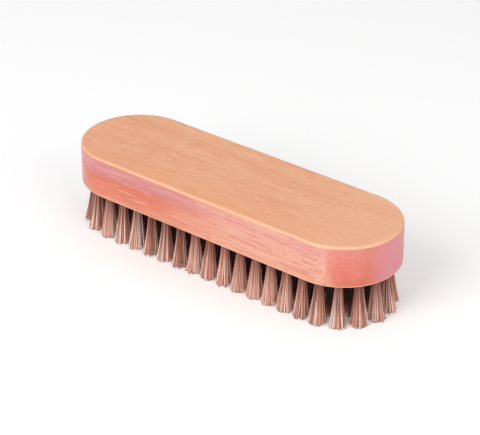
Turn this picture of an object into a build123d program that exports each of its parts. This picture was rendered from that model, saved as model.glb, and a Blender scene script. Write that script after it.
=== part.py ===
from build123d import *
from math import cos, degrees, dist, pi, radians, sin, tan
import os

# Clothes brush: a solid beech block, drilled from below and filled with tufts of
# bristle. Every tuft is a bundle folded in two round a flat wire anchor, and the
# anchor's ends bite into the wall of the drilled hole.
#
# Millimetres. Origin at the middle of the tip plane, +X along the brush, +Z from
# the bristle tips to the top of the block.

# Block: an outline with two straight sides and two half-round ends.
BLOCK_LENGTH = 165.0
BLOCK_WIDTH = 51.0
BLOCK_HEIGHT = 19.0
TOP_EDGE_ROUND = 1.5
BOTTOM_EDGE_ROUND = 0.6

# Filling pattern: six rows across. The outer two rows are one closed ring (the rim),
# the next two are a second ring, and the inner two are straight.
ROWS = 6
RIM_INSET = 6.0
RIM_LEAN = 3.4
RIM_TUFTS = 42
MIDDLE_TUFTS = 36
INNER_TUFTS = 15

# Drilled holes.
HOLE_DIAMETER = 3.5
HOLE_DEPTH = 13.0
DRILL_POINT_ANGLE = 118.0

# Tufts.
BRISTLE_LENGTH = 21.0
ROOT_CLEARANCE = 0.1
TIP_GAP = 0.8
FLARE_BULGE = 0.4
FOLD_CLEARANCE = 0.2
FOLD_THICKNESS = 1.5
FOLD_DOME = 1.0

# Wire anchors.
ANCHOR_HEIGHT = 2.0
ANCHOR_THICKNESS = 0.45
ANCHOR_BITE = 0.35

# Worked out from the sizes above.
STRAIGHT = BLOCK_LENGTH - BLOCK_WIDTH
ROW_STEP = (BLOCK_WIDTH - 2 * RIM_INSET) / (ROWS - 1)
ROOT_RADIUS = HOLE_DIAMETER / 2 - ROOT_CLEARANCE
FOLD_TOP = HOLE_DEPTH - FOLD_CLEARANCE
ANCHOR_MIDDLE = FOLD_TOP - FOLD_THICKNESS - ANCHOR_HEIGHT / 2
ANCHOR_WIDTH = HOLE_DIAMETER + 2 * ANCHOR_BITE


def ring_stations(inset, count):
    """Evenly spaced places on the block's outline set in by inset, listed by side.

    The ring starts where the left end meets the front side. Each place is x, y and
    the heading, which turns the front (-Y) to face outwards there.
    """
    radius = BLOCK_WIDTH / 2 - inset
    arc = pi * radius
    pitch = 2 * (STRAIGHT + arc) / count
    sides = {"front": [], "right": [], "back": [], "left": []}
    for index in range(count):
        half, steps = divmod(index, count / 2)
        along = steps * pitch
        facing = 1 if half == 0 else -1
        if along < STRAIGHT:
            side = "front" if half == 0 else "back"
            turn = 0.0
            x = along - STRAIGHT / 2
        else:
            side = "right" if half == 0 else "left"
            turn = (along - STRAIGHT) / radius
            x = STRAIGHT / 2 + radius * sin(turn)
        y = -radius * cos(turn)
        sides[side].append((facing * x, facing * y, degrees(turn) + 180 * half))
    return sides


def row_stations(y):
    """Evenly spaced places on a straight inner row."""
    step = STRAIGHT / (INNER_TUFTS - 1)
    return [(index * step - STRAIGHT / 2, y, 0.0) for index in range(INNER_TUFTS)]


def closest_spacing(stations):
    """The distance between the two nearest tufts of the whole pattern."""
    places = [(x, y) for x, y, heading in stations]
    return min(dist(a, b) for i, a in enumerate(places) for b in places[:i])


def place(shape, station):
    """A copy of a piece made at the middle of the front side, moved to a station."""
    x, y, heading = station
    return shape.moved(Location((x, y, 0), (0, 0, heading)))


def on_hole_axis(shape, lean):
    """Stand a piece, drawn with the hole's mouth at its origin, on the leaning axis."""
    return Pos(0, 0, BRISTLE_LENGTH) * Rot(-lean, 0, 0) * shape


def drilled_hole(lean):
    """The drilled hole with its pointed end and the two bites of the anchor."""
    overshoot = HOLE_DIAMETER / 2
    point = HOLE_DIAMETER / 2 / tan(radians(DRILL_POINT_ANGLE / 2))
    bottom_up = (Align.CENTER, Align.CENTER, Align.MIN)
    bore = Pos(0, 0, -overshoot) * Cylinder(
        HOLE_DIAMETER / 2, HOLE_DEPTH + overshoot, align=bottom_up
    )
    tip = Pos(0, 0, HOLE_DEPTH) * Cone(HOLE_DIAMETER / 2, 0, point, align=bottom_up)
    return on_hole_axis(bore + tip, lean) + anchor(lean)


def anchor(lean):
    """A flat wire anchor, wider than the hole by its bite at each end."""
    strip = Box(ANCHOR_WIDTH, ANCHOR_THICKNESS, ANCHOR_HEIGHT)
    return on_hole_axis(Pos(0, 0, ANCHOR_MIDDLE) * strip, lean)


def tuft(lean, tip_radius):
    """A folded bundle: a straight root round its anchor, then a flare, trimmed flat."""
    reach = BRISTLE_LENGTH / cos(radians(lean)) + tip_radius * tan(radians(lean))
    shoulder = (ROOT_RADIUS, FOLD_TOP - FOLD_DOME)
    mouth = (ROOT_RADIUS, 0)
    tip = (tip_radius, -reach)
    bulge = ((ROOT_RADIUS + tip_radius) / 2 + FLARE_BULGE, -reach / 2)
    dome = (ROOT_RADIUS * sin(pi / 4), FOLD_TOP - FOLD_DOME * (1 - cos(pi / 4)))
    edges = [
        ThreePointArc((0, FOLD_TOP), dome, shoulder),
        Line(shoulder, mouth),
        ThreePointArc(mouth, bulge, tip),
        Line(tip, (0, -reach)),
        Line((0, -reach), (0, FOLD_TOP)),
    ]
    profile = Plane.XZ * make_face(edges)
    bundle = on_hole_axis(revolve(profile, Axis.Z, 360), lean)
    below = Pos(0, 0, -BRISTLE_LENGTH / 2) * Box(
        BRISTLE_LENGTH, BRISTLE_LENGTH, BRISTLE_LENGTH
    )
    return bundle - below - anchor(lean)


def block(holes):
    """The wooden block with both edges eased and every hole cut."""
    outline = SlotOverall(BLOCK_LENGTH, BLOCK_WIDTH)
    body = extrude(Pos(0, 0, BRISTLE_LENGTH) * outline, BLOCK_HEIGHT)
    levels = body.edges().group_by(Axis.Z)
    body = fillet(levels[-1], TOP_EDGE_ROUND)
    levels = body.edges().group_by(Axis.Z)
    body = fillet(levels[0], BOTTOM_EDGE_ROUND)
    return body - holes


def save(name, solids):
    """Write one node, which holds one solid or a group of separate solids."""
    shape = solids[0] if len(solids) == 1 else Compound(children=solids)
    export_step(shape, f"parts/{name}.step")


def main():
    os.makedirs("parts", exist_ok=True)
    rim = ring_stations(RIM_INSET, RIM_TUFTS)
    middle = ring_stations(RIM_INSET + ROW_STEP, MIDDLE_TUFTS)
    inner = {"front": row_stations(-ROW_STEP / 2), "back": row_stations(ROW_STEP / 2)}
    rim_places = sum(rim.values(), [])
    upright_places = sum(middle.values(), []) + sum(inner.values(), [])
    tip_radius = (closest_spacing(rim_places + upright_places) - TIP_GAP) / 2

    holes = [place(drilled_hole(RIM_LEAN), station) for station in rim_places]
    holes += [place(drilled_hole(0), station) for station in upright_places]
    save("wooden_block", block(holes).solids())

    leaning_tuft = tuft(RIM_LEAN, tip_radius).solid()
    upright_tuft = tuft(0, tip_radius).solid()
    leaning_anchor = anchor(RIM_LEAN).solid()
    upright_anchor = anchor(0).solid()

    for number, station in enumerate(rim_places, start=1):
        save(f"rim_tuft_{number:02d}", [place(leaning_tuft, station)])
    for side, stations in rim.items():
        save(f"rim_{side}_anchors", [place(leaning_anchor, s) for s in stations])
    for ring, sides in (("middle", middle), ("inner", inner)):
        for side, stations in sides.items():
            save(f"{ring}_{side}_tufts", [place(upright_tuft, s) for s in stations])
            save(f"{ring}_{side}_anchors", [place(upright_anchor, s) for s in stations])


main()
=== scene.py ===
import math
import random

import bpy
from mathutils import Matrix, Vector


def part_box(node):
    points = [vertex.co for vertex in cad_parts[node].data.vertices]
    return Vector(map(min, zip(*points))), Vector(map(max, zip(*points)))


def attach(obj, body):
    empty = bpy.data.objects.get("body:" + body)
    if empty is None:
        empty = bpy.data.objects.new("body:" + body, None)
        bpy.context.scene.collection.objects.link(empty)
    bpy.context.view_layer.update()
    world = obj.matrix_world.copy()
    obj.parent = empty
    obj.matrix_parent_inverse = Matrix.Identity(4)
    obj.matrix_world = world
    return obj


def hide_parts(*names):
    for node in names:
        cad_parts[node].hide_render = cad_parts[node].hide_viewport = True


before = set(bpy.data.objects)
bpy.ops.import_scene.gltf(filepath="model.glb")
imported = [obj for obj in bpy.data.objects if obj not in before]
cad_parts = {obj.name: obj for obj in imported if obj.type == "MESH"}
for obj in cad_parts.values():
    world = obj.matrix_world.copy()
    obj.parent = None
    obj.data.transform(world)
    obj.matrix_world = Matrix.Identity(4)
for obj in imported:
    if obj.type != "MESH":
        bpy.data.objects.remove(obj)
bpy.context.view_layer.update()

MM = 0.001

# ------------------------------------------------------------------ sizes, from the frame
BLOCK_LOW, BLOCK_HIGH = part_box("wooden_block")
UNDERSIDE = BLOCK_LOW.z
BLOCK_TOP = BLOCK_HIGH.z
BLOCK_WIDTH = BLOCK_HIGH.y - BLOCK_LOW.y
STRAIGHT = BLOCK_HIGH.x - BLOCK_LOW.x - BLOCK_WIDTH

# Filling pattern: two closed rings of tufts and two straight inner rows.
ROWS = 6
RIM_INSET = 6 * MM
ROW_STEP = (BLOCK_WIDTH - 2 * RIM_INSET) / (ROWS - 1)
RIM_LEAN = math.radians(3.4)
RIM_TUFTS = 42
MIDDLE_TUFTS = 36
INNER_TUFTS = 15

# One bristle: folded in two round its anchor, so it has two legs. Real bristle is
# 0.1 to 0.25 mm thick. It is drawn 0.4 mm thick so that single hairs show.
BRISTLE_RADIUS = 0.2 * MM
BRISTLE_SIDES = 5
BRISTLE_SPACING = 0.3 * MM
LEG_RISES = [8 * MM, 8 * MM, 8 * MM, 11.1 * MM]
LEG_BELOW_MOUTH = sum(LEG_RISES[:3])
FOLD_STEPS = 3
FOLD_HALF_WIDTHS = [0.42 * MM, 0.66 * MM, 0.9 * MM, 1.13 * MM, 1.34 * MM]
BUNDLE_RADIUS = 1.38 * MM

# How a tuft opens between the mouth of its hole and its trimmed tips.
TIP_SPREAD = 2.8
TIP_STRAY = 0.3 * MM
STRAY_GROWTH = 1.5
CURL = 0.14 * MM
CURL_TURN = 2.6
SHORT_HAIRS = 0.1
SHORT_LENGTHS = (0.86, 0.93)
CREASE_ANGLE = math.radians(80)
TUFT_SHAPES = 7
DRAW_SEED = 165

# The stage: a sheet of paper lit from within a little, so that it comes out near white.
FLOOR_SIZE = 6.0
FLOOR_GLOW = 0.13
SKY_STRENGTH = 0.56

# The camera: a long lens with no roll, aimed a little off the middle of the brush.
LENS = 150
SENSOR = 36
AZIMUTH = math.radians(39.2)
ELEVATION = math.radians(29.15)
DISTANCE = 0.867
AIM_HEIGHT = 28 * MM
SHIFT_RIGHT = 1.3 * MM
SHIFT_DOWN = 7.15 * MM


# ------------------------------------------------------------------ small tools
def start_afresh():
    """Nothing selected, so that an operator acts only on what is made next."""
    bpy.ops.object.select_all(action="DESELECT")


def edit_all():
    bpy.ops.object.mode_set(mode="EDIT")
    bpy.ops.mesh.select_all(action="SELECT")


def leave_edit():
    bpy.ops.object.mode_set(mode="OBJECT")


def link_object(name, mesh):
    made = bpy.data.objects.new(name, mesh)
    bpy.context.scene.collection.objects.link(made)
    return made


def join(objects, name):
    """Join finished copies into one piece."""
    start_afresh()
    for made in objects:
        made.select_set(True)
    bpy.context.view_layer.objects.active = objects[0]
    if len(objects) > 1:
        bpy.ops.object.join()
    objects[0].name = name
    objects[0].data.name = name
    return objects[0]


def linear(hex_colour):
    """An sRGB hex colour as linear RGBA."""
    channels = [int(hex_colour[i : i + 2], 16) / 255 for i in (1, 3, 5)]
    return [c / 12.92 if c <= 0.04045 else ((c + 0.055) / 1.055) ** 2.4 for c in channels] + [1.0]


def add_node(tree, kind, props=None, values=None, links=None, stops=None):
    """Add a shader node with its properties, fixed sockets, linked sockets and ramp stops."""
    made = tree.nodes.new(kind)
    for name, value in (props or {}).items():
        setattr(made, name, value)
    for socket, value in (values or {}).items():
        made.inputs[socket].default_value = value
    for socket, source in (links or {}).items():
        tree.links.new(source, made.inputs[socket])
    if stops:
        elements = made.color_ramp.elements
        while len(elements) < len(stops):
            elements.new(1.0)
        for element, (position, colour) in zip(elements, stops):
            element.position = position
            element.color = colour
    return made


def new_material(name):
    material = bpy.data.materials.new(name)
    material.use_nodes = True
    material.node_tree.nodes.clear()
    return material, material.node_tree


def finish_material(tree, shader):
    add_node(tree, "ShaderNodeOutputMaterial", links={"Surface": shader.outputs[0]})


# ------------------------------------------------------------------ where the tufts stand
def ring_stations(inset, count):
    """Places on the outline set in by inset, by side, as x, y and the turn to face outwards."""
    radius = BLOCK_WIDTH / 2 - inset
    arc = math.pi * radius
    pitch = 2 * (STRAIGHT + arc) / count
    sides = {"front": [], "right": [], "back": [], "left": []}
    for index in range(count):
        half, steps = divmod(index, count / 2)
        along = steps * pitch
        facing = 1 if half == 0 else -1
        turn = max(0.0, along - STRAIGHT) / radius
        x = min(along, STRAIGHT) - STRAIGHT / 2 + radius * math.sin(turn)
        y = -radius * math.cos(turn)
        if along < STRAIGHT:
            side = "front" if half == 0 else "back"
        else:
            side = "right" if half == 0 else "left"
        sides[side].append((facing * x, facing * y, turn + math.pi * half))
    return sides


def row_stations(y):
    step = STRAIGHT / (INNER_TUFTS - 1)
    return [(index * step - STRAIGHT / 2, y, 0.0) for index in range(INNER_TUFTS)]


# ------------------------------------------------------------------ bristle and tufts
def folded_bristle(half_width):
    """A thin rod drawn up one leg, spun half a turn round the anchor and drawn back down."""
    start_afresh()
    bpy.ops.mesh.primitive_circle_add(
        vertices=BRISTLE_SIDES,
        radius=BRISTLE_RADIUS,
        fill_type="NGON",
        location=(0, half_width, -LEG_BELOW_MOUTH),
    )
    bpy.ops.object.transform_apply(location=True)
    bristle = bpy.context.object
    edit_all()
    for rise in LEG_RISES:
        bpy.ops.mesh.extrude_region_move(TRANSFORM_OT_translate={"value": (0, 0, rise)})
    bpy.ops.mesh.spin(
        steps=FOLD_STEPS, angle=math.pi, center=(0, 0, LEG_RISES[-1]), axis=(-1, 0, 0)
    )
    for rise in reversed(LEG_RISES):
        bpy.ops.mesh.extrude_region_move(TRANSFORM_OT_translate={"value": (0, 0, -rise)})
    bpy.ops.mesh.select_all(action="SELECT")
    bpy.ops.mesh.normals_make_consistent(inside=False)
    leave_edit()
    return bristle


def splay(mesh, x, half_width, draw):
    """Set a straight bristle at its place in the bundle and open its two legs outwards."""
    strays = {}
    for leg in (1, -1):
        strays[leg] = {
            "tip": Vector((draw.gauss(0, TIP_STRAY), draw.gauss(0, TIP_STRAY))),
            "curl": Vector((draw.gauss(0, CURL), draw.gauss(0, CURL))),
            "length": draw.uniform(*SHORT_LENGTHS) if draw.random() < SHORT_HAIRS else 1.0,
        }
    for vertex in mesh.vertices:
        co = vertex.co
        leg = 1 if co.y > 0 else -1
        down = max(0.0, -co.z) / LEG_BELOW_MOUTH
        spread = (TIP_SPREAD - 1) * down * (0.5 + 0.5 * down)
        stray = strays[leg]["tip"] * down**STRAY_GROWTH
        stray += strays[leg]["curl"] * math.sin(CURL_TURN * down)
        co.x += x * (1 + spread) + stray.x
        co.y += leg * half_width * spread + stray.y
        if co.z < 0:
            co.z *= strays[leg]["length"]


def set_attribute(mesh, name, value):
    layer = mesh.attributes.get(name) or mesh.attributes.new(name, "FLOAT", "POINT")
    layer.data.foreach_set("value", [value] * len(mesh.vertices))


def tuft_shape(name, masters, lean, draw):
    """A bundle of folded bristles on the leaning axis of its hole, trimmed level at the tips."""
    bristles = []
    for half_width, master in masters.items():
        reach = math.sqrt(BUNDLE_RADIUS**2 - half_width**2)
        count = max(2, round(2 * reach / BRISTLE_SPACING) + 1)
        for index in range(count):
            x = reach * (2 * index / (count - 1) - 1)
            mesh = master.data.copy()
            splay(mesh, x, half_width, draw)
            set_attribute(mesh, "bristle_tone", draw.random())
            bristles.append(link_object(name, mesh))
    shape = join(bristles, name)
    stand = Matrix.Translation((0, 0, UNDERSIDE)) @ Matrix.Rotation(-lean, 4, "X")
    shape.data.transform(stand)
    edit_all()
    bpy.ops.mesh.bisect(
        plane_co=(0, 0, 0), plane_no=(0, 0, 1), use_fill=True, clear_inner=True, threshold=1e-7
    )
    leave_edit()
    bpy.ops.object.shade_smooth_by_angle(angle=CREASE_ANGLE)
    return shape


def tuft_shapes(name, masters, lean, draw):
    return [tuft_shape(f"{name}_{n}", masters, lean, draw) for n in range(TUFT_SHAPES)]


def plant(shape, station, inside, draw):
    """A copy of a tuft, turned to its place; half of the copies are the mirror shape."""
    x, y, heading = station
    mesh = shape.data.copy()
    if draw.random() < 0.5:
        mesh.transform(Matrix.Scale(-1, 4, (1, 0, 0)))
        mesh.flip_normals()
    mesh.transform(Matrix.Translation((x, y, 0)) @ Matrix.Rotation(heading, 4, "Z"))
    set_attribute(mesh, "tuft_tone", draw.random())
    set_attribute(mesh, "inside_brush", inside)
    return link_object("planted", mesh)


def bristle_piece(name, shapes, stations, node, material, draw):
    """The tufts of one node, as one piece that stands for it."""
    # inside is 1 for the middle and inner tufts, whose roots the bristle material paints in deep
    # shade, and 0 for the rim tufts.
    inside = 0.0 if name.startswith("rim") else 1.0
    tufts = [plant(draw.choice(shapes), station, inside, draw) for station in stations]
    piece = join(tufts, name)
    piece.data.materials.clear()
    piece.data.materials.append(material)
    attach(piece, "root")
    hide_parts(node)
    return piece


def fill_brush(material):
    """Every tuft of the brush: the rim one by one, the rest by the side of their ring."""
    draw = random.Random(DRAW_SEED)
    masters = {half_width: folded_bristle(half_width) for half_width in FOLD_HALF_WIDTHS}
    leaning = tuft_shapes("leaning_tuft", masters, RIM_LEAN, draw)
    upright = tuft_shapes("upright_tuft", masters, 0.0, draw)
    rim = sum(ring_stations(RIM_INSET, RIM_TUFTS).values(), [])
    for number, station in enumerate(rim, start=1):
        name = f"rim_bristles_{number:02d}"
        bristle_piece(name, leaning, [station], f"rim_tuft_{number:02d}", material, draw)
    middle = ring_stations(RIM_INSET + ROW_STEP, MIDDLE_TUFTS)
    for side, stations in middle.items():
        node = f"middle_{side}_tufts"
        bristle_piece(f"middle_{side}_bristles", upright, stations, node, material, draw)
    for side, y in (("front", -ROW_STEP / 2), ("back", ROW_STEP / 2)):
        node = f"inner_{side}_tufts"
        stations = row_stations(y)
        bristle_piece(f"inner_{side}_bristles", upright, stations, node, material, draw)
    for pattern in [*masters.values(), *leaning, *upright]:
        bpy.data.objects.remove(pattern)


# ------------------------------------------------------------------ materials
def ramp(tree, source, *stops):
    """A colour for each level of the source."""
    made = add_node(tree, "ShaderNodeValToRGB", links={"Fac": source}, stops=stops)
    return made.outputs["Color"]


def mask(tree, source, *stops):
    """A level between 0 and 1 for each level of the source."""
    return ramp(tree, source, *[(at, (level, level, level, 1)) for at, level in stops])


def remap(tree, source, start, end, first=0.0, last=1.0):
    made = add_node(
        tree,
        "ShaderNodeMapRange",
        values={"From Min": start, "From Max": end, "To Min": first, "To Max": last},
        links={"Value": source},
    )
    return made.outputs[0]


def math_node(tree, operation, first, second=0.0, third=0.0):
    """Arithmetic on levels; each is a socket or a number."""
    made = add_node(tree, "ShaderNodeMath", {"operation": operation})
    for socket, source in zip(made.inputs, (first, second, third)):
        if isinstance(source, bpy.types.NodeSocket):
            tree.links.new(source, socket)
        else:
            socket.default_value = source
    return made.outputs[0]


def blend(tree, factor, first, second):
    """From the first colour to the second; each is a socket or a hex colour."""
    made = add_node(tree, "ShaderNodeMix", {"data_type": "RGBA"}, links={0: factor})
    for socket, source in ((6, first), (7, second)):
        if isinstance(source, bpy.types.NodeSocket):
            tree.links.new(source, made.inputs[socket])
        else:
            made.inputs[socket].default_value = linear(source)
    return made.outputs[2]


def hexes(*stops):
    return [(at, linear(colour)) for at, colour in stops]


def streaks(tree, place, length, width, detail=2.0, shift=0.0):
    """Noise drawn out along x, in features of about that length and width."""
    drawn = add_node(
        tree,
        "ShaderNodeMapping",
        values={
            "Scale": (0.5 / length, 0.5 / width, 0.5 / width),
            "Location": (shift, shift, shift),
        },
        links={"Vector": place},
    )
    noise = add_node(
        tree,
        "ShaderNodeTexNoise",
        values={"Scale": 1.0, "Detail": detail, "Roughness": 0.55},
        links={"Vector": drawn.outputs[0]},
    )
    return noise.outputs["Fac"]


def beech_face(tree, place, along, across):
    """The planed face: peach, with growth bands, short streaks and ray flecks."""
    bands = streaks(tree, place, 45 * MM, 4 * MM, 3)
    face = ramp(tree, bands, *hexes((0.3, "#F8B78C"), (0.5, "#F5B088"), (0.7, "#F0A87E")))
    lines = streaks(tree, place, 4.5 * MM, 0.45 * MM, 2, 11)
    face = blend(tree, mask(tree, lines, (0.52, 0), (0.68, 0.7)), face, "#E49A6E")
    face = blend(tree, mask(tree, lines, (0.3, 0.7), (0.46, 0)), face, "#FCC59E")
    rays = streaks(tree, place, 1.6 * MM, 0.35 * MM, 1, 37)
    face = blend(tree, mask(tree, rays, (0.62, 0), (0.72, 0.5)), face, "#DB9265")
    front = remap(tree, across, -8 * MM, -25 * MM, 0, 0.5)
    face = blend(tree, front, face, "#F3A274")
    right = remap(tree, along, 25 * MM, 80 * MM, 0, 0.5)
    return blend(tree, right, face, "#F9BE96")


def beech_wall(tree, place, along, height):
    """The milled side: violet-pink above and orange-red below, blotched, and paler towards the
    right end.
    """
    drift = streaks(tree, place, 28 * MM, 3.5 * MM, 3, 71)
    level = math_node(tree, "MULTIPLY_ADD", drift, 0.55, height)
    red = hexes(
        (0.25, "#D2876D"),
        (0.5, "#D17252"),
        (0.66, "#CA6546"),
        (0.76, "#C4746B"),
        (0.84, "#C67D84"),
        (1.0, "#CA837A"),
    )
    pale = hexes((0.25, "#D99A7E"), (0.6, "#DA9D85"), (0.85, "#D69289"), (1.0, "#D99C85"))
    level = math_node(tree, "MULTIPLY", level, 0.8)
    rightward = remap(tree, along, -50 * MM, 50 * MM)
    towards_pale = math_node(tree, "MULTIPLY_ADD", drift, 0.35, rightward)
    wall = blend(
        tree,
        mask(tree, towards_pale, (0.42, 0), (0.88, 1)),
        ramp(tree, level, *red),
        ramp(tree, level, *pale),
    )
    fine = streaks(tree, place, 9 * MM, 0.45 * MM, 2, 19)
    wall = blend(tree, mask(tree, fine, (0.52, 0), (0.68, 0.6)), wall, "#C0675D")
    mottle = streaks(tree, place, 1.8 * MM, 0.9 * MM, 2, 43)
    wall = blend(tree, mask(tree, mottle, (0.55, 0), (0.72, 0.55)), wall, "#C4664F")
    return blend(tree, mask(tree, fine, (0.3, 0.6), (0.46, 0)), wall, "#E2A593")


def beech_end(tree, place, height, facing_x, end_on):
    """End grain, which drank more stain: salmon red, violet-pink at the very ends."""
    pores = streaks(tree, place, 0.5 * MM, 0.5 * MM, 2, 53)
    patches = streaks(tree, place, 2.5 * MM, 2.5 * MM, 3, 29)
    level = math_node(tree, "MULTIPLY_ADD", patches, 0.6, math_node(tree, "MULTIPLY", height, 0.6))
    end = ramp(tree, level, *hexes((0.3, "#C8644A"), (0.6, "#D47360"), (0.95, "#D48274")))
    end = blend(tree, mask(tree, pores, (0.5, 0), (0.7, 0.35)), end, "#B85B48")
    end = blend(tree, mask(tree, end_on, (0.88, 0), (1.0, 0.85)), end, "#D5818C")
    left = remap(tree, facing_x, -0.35, -0.7, 0, 0.8)
    return blend(tree, left, end, "#D2909C")


def beech_material():
    """Steamed beech, planed and milled, stained and lacquered.

    The eye sees a peach face with fine streaks along the grain, redder blotched walls,
    salmon-red end grain and a soft gloss. Highlights are painted into the colour as pale
    lines along the top and bottom of the side and along the rounded edges. Real pores
    are too fine to show, so the streaks and end-grain pores are drawn 0.5 mm wide.
    """
    material, tree = new_material("steamed_beech_stained_lacquered")
    place = add_node(tree, "ShaderNodeTexCoord").outputs["Object"]
    spot = add_node(tree, "ShaderNodeSeparateXYZ", links={"Vector": place}).outputs
    geometry = add_node(tree, "ShaderNodeNewGeometry").outputs["Normal"]
    facing = add_node(tree, "ShaderNodeSeparateXYZ", links={"Vector": geometry}).outputs
    height = remap(tree, spot["Z"], UNDERSIDE, BLOCK_TOP)
    upward = math_node(tree, "ABSOLUTE", facing["Z"])
    end_on = math_node(tree, "ABSOLUTE", facing["X"])

    face = beech_face(tree, place, spot["X"], spot["Y"])
    wall = beech_wall(tree, place, spot["X"], height)
    end = beech_end(tree, place, height, facing["X"], end_on)
    ragged = streaks(tree, place, 3 * MM, 3 * MM, 2, 5)
    end_edge = math_node(tree, "MULTIPLY_ADD", ragged, 0.22, end_on)
    side = blend(tree, mask(tree, end_edge, (0.44, 0), (0.6, 1)), wall, end)
    # Painted highlight: a pale line along the top and the bottom of the side, drawn by height.
    painted_highlight_lines = mask(tree, height, (0.02, 0.6), (0.05, 0), (0.93, 0), (0.97, 0.6))
    side = blend(tree, painted_highlight_lines, side, "#EFB08E")
    # Painted highlight: the rounded top and bottom edges, where the normal turns from the side to
    # the face, are drawn paler.
    painted_edge_highlight = mask(tree, upward, (0.3, 0), (0.5, 0.75), (0.72, 0.75), (0.9, 0))
    colour = blend(tree, mask(tree, upward, (0.5, 0), (0.85, 1)), side, face)
    colour = blend(tree, painted_edge_highlight, colour, "#F5BE98")

    pores = streaks(tree, place, 1.2 * MM, 0.12 * MM, 2, 3)
    grain = add_node(
        tree,
        "ShaderNodeBump",
        values={"Strength": 0.2, "Distance": 0.04 * MM},
        links={"Height": pores},
    )
    gloss = streaks(tree, place, 12 * MM, 3 * MM, 2, 91)
    shader = add_node(
        tree,
        "ShaderNodeBsdfPrincipled",
        values={"IOR": 1.5, "Coat Weight": 0.2, "Coat Roughness": 0.25},
        links={
            "Base Color": colour,
            "Roughness": remap(tree, gloss, 0.3, 0.7, 0.38, 0.5),
            "Normal": grain.outputs[0],
        },
    )
    finish_material(tree, shader)
    return material


def bristle_material():
    """Natural boar bristle, washed, bundled and trimmed.

    The eye sees single hairs from umber to pale pinkish straw, with dark cut ends. Shade is
    painted into the colour: darker towards the holes, and darker still at the roots of the
    tufts inside the brush, where light does not reach.
    """
    material, tree = new_material("natural_boar_bristle_trimmed")
    place = add_node(tree, "ShaderNodeTexCoord").outputs["Object"]
    height = add_node(tree, "ShaderNodeSeparateXYZ", links={"Vector": place}).outputs["Z"]
    hair = add_node(tree, "ShaderNodeAttribute", {"attribute_name": "bristle_tone"})
    tuft = add_node(tree, "ShaderNodeAttribute", {"attribute_name": "tuft_tone"})
    inside = add_node(tree, "ShaderNodeAttribute", {"attribute_name": "inside_brush"})
    upright = add_node(
        tree,
        "ShaderNodeMapping",
        values={"Scale": (1 / (1.2 * MM), 1 / (1.2 * MM), 1 / (14 * MM))},
        links={"Vector": place},
    )
    locks = add_node(
        tree,
        "ShaderNodeTexNoise",
        values={"Scale": 1.0, "Detail": 2.0},
        links={"Vector": upright.outputs[0]},
    )
    tone = math_node(tree, "MULTIPLY", hair.outputs["Fac"], 0.75)
    tone = math_node(tree, "MULTIPLY_ADD", locks.outputs["Fac"], 0.5, tone)
    colour = ramp(
        tree,
        tone,
        *hexes(
            (0.2, "#9A6150"),
            (0.4, "#D6967F"),
            (0.62, "#F0B7A2"),
            (0.82, "#FAD5C6"),
            (1.0, "#FEECE4"),
        ),
    )
    # Painted shade: the rim tufts darken towards the holes, to 0.36 at the underside; the middle
    # and inner tufts fall to black at their roots and brighten only towards the tips.
    rim_shade = remap(tree, height, UNDERSIDE, 5 * MM, 0.36, 1)
    inner_shade = math_node(tree, "POWER", remap(tree, height, UNDERSIDE - 2 * MM, 0), 3.0)
    shade = add_node(
        tree,
        "ShaderNodeMix",
        links={0: inside.outputs["Fac"], 2: rim_shade, 3: inner_shade},
    ).outputs[0]
    # The last 0.7 mm of each hair, at the tips, is drawn darker, down to 0.45.
    cut_ends = remap(tree, height, 0.1 * MM, 0.7 * MM, 0.45)
    shade = math_node(tree, "MULTIPLY", shade, cut_ends)
    tuft_shade = remap(tree, tuft.outputs["Fac"], 0, 1, 0.88, 1.06)
    shade = math_node(tree, "MULTIPLY", shade, tuft_shade)
    # The shade level picks a painted shade colour, from near black to white, which multiplies the
    # hair colour.
    shades = hexes((0.0, "#120504"), (0.3, "#5E382F"), (0.6, "#BA9C94"), (1.0, "#FFFFFF"))
    painted_shade_colour = ramp(tree, shade, *shades)
    shaded = add_node(
        tree,
        "ShaderNodeMix",
        {"data_type": "RGBA", "blend_type": "MULTIPLY"},
        values={0: 1.0},
        links={6: colour, 7: painted_shade_colour},
    )
    shader = add_node(
        tree,
        "ShaderNodeBsdfPrincipled",
        values={"Roughness": 0.45, "IOR": 1.55},
        links={"Base Color": shaded.outputs[2]},
    )
    finish_material(tree, shader)
    return material


def anchor_wire_material():
    """Tinned steel wire, drawn flat: bright, with fine marks along its length.

    Nothing of it is seen, because the anchors are inside the block.
    """
    material, tree = new_material("tinned_steel_wire_drawn")
    place = add_node(tree, "ShaderNodeTexCoord").outputs["Object"]
    drawn = add_node(
        tree,
        "ShaderNodeMapping",
        values={"Scale": (1 / (3 * MM), 1 / (3 * MM), 1 / (0.08 * MM))},
        links={"Vector": place},
    )
    marks = add_node(
        tree,
        "ShaderNodeTexNoise",
        values={"Scale": 1.0, "Detail": 3.0},
        links={"Vector": drawn.outputs[0]},
    )
    level = marks.outputs["Fac"]
    bump = add_node(
        tree,
        "ShaderNodeBump",
        values={"Strength": 0.3, "Distance": 0.01 * MM},
        links={"Height": level},
    )
    shader = add_node(
        tree,
        "ShaderNodeBsdfPrincipled",
        values={"Metallic": 1.0},
        links={
            "Base Color": ramp(tree, level, *hexes((0.3, "#A8A9A6"), (0.7, "#C9CAC7"))),
            "Roughness": remap(tree, level, 0, 1, 0.28, 0.45),
            "Normal": bump.outputs[0],
        },
    )
    finish_material(tree, shader)
    return material


def dress(node, material):
    """Give a CAD node its finish."""
    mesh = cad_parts[node].data
    mesh.materials.clear()
    mesh.materials.append(material)


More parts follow.
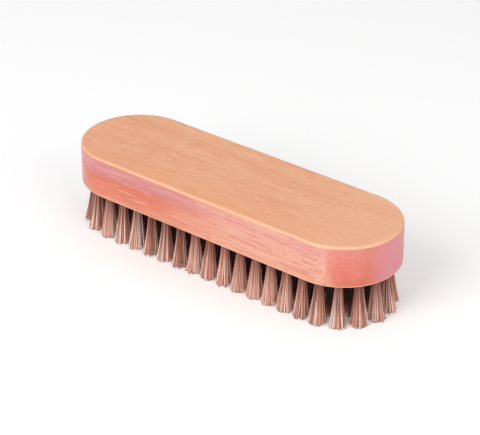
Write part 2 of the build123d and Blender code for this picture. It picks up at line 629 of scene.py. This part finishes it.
# ------------------------------------------------------------------ stage, light and camera
def paper_floor():
    """A wide sheet of white paper under the brush, which glows a little."""
    start_afresh()
    bpy.ops.mesh.primitive_plane_add(size=FLOOR_SIZE, location=(0, 0, 0))
    floor = bpy.context.object
    floor.name = "paper_floor"
    material, tree = new_material("white_paper")
    shader = add_node(
        tree,
        "ShaderNodeBsdfPrincipled",
        values={
            "Base Color": linear("#FFFFFF"),
            "Roughness": 0.9,
            "Emission Color": linear("#FFFFFF"),
            "Emission Strength": FLOOR_GLOW,
        },
    )
    finish_material(tree, shader)
    floor.data.materials.append(material)


def soft_light(name, place, size, power, aim):
    lamp = bpy.data.lights.new(name, "AREA")
    lamp.size = size
    lamp.energy = power
    made = bpy.data.objects.new(name, lamp)
    bpy.context.scene.collection.objects.link(made)
    made.location = place
    made.rotation_mode = "QUATERNION"
    made.rotation_quaternion = (Vector(aim) - Vector(place)).to_track_quat("-Z", "Y")


def studio_light():
    world = bpy.data.worlds.new("white_studio")
    bpy.context.scene.world = world
    world.use_nodes = True
    sky = world.node_tree.nodes["Background"].inputs
    sky["Color"].default_value = linear("#FFFFFF")
    sky["Strength"].default_value = SKY_STRENGTH
    middle = (0, 0, BLOCK_TOP)
    soft_light("window", (-0.1, -1.0, 0.7), size=0.8, power=8.0, aim=middle)
    soft_light("fill", (1.0, -0.2, 0.5), size=0.9, power=3.6, aim=middle)


def long_lens_camera():
    """A long lens with no roll, above the right front corner of the brush."""
    back = Vector(
        (
            math.sin(AZIMUTH) * math.cos(ELEVATION),
            -math.cos(AZIMUTH) * math.cos(ELEVATION),
            math.sin(ELEVATION),
        )
    )
    right = Vector((math.cos(AZIMUTH), math.sin(AZIMUTH), 0))
    up = back.cross(right)
    lens = bpy.data.cameras.new("camera")
    lens.sensor_width = SENSOR
    lens.lens = LENS
    camera = bpy.data.objects.new("camera", lens)
    bpy.context.scene.collection.objects.link(camera)
    place = Vector((0, 0, AIM_HEIGHT)) + DISTANCE * back + SHIFT_RIGHT * right - SHIFT_DOWN * up
    turn = Matrix((right, up, back)).transposed().to_4x4()
    camera.matrix_world = Matrix.Translation(place) @ turn
    bpy.context.scene.camera = camera
    bpy.context.scene.view_settings.view_transform = "Standard"


# ------------------------------------------------------------------ the brush
long_lens_camera()
studio_light()
paper_floor()
dress("wooden_block", beech_material())
anchor_finish = anchor_wire_material()
for node_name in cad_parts:
    if node_name.endswith("_anchors"):
        dress(node_name, anchor_finish)
fill_brush(bristle_material())
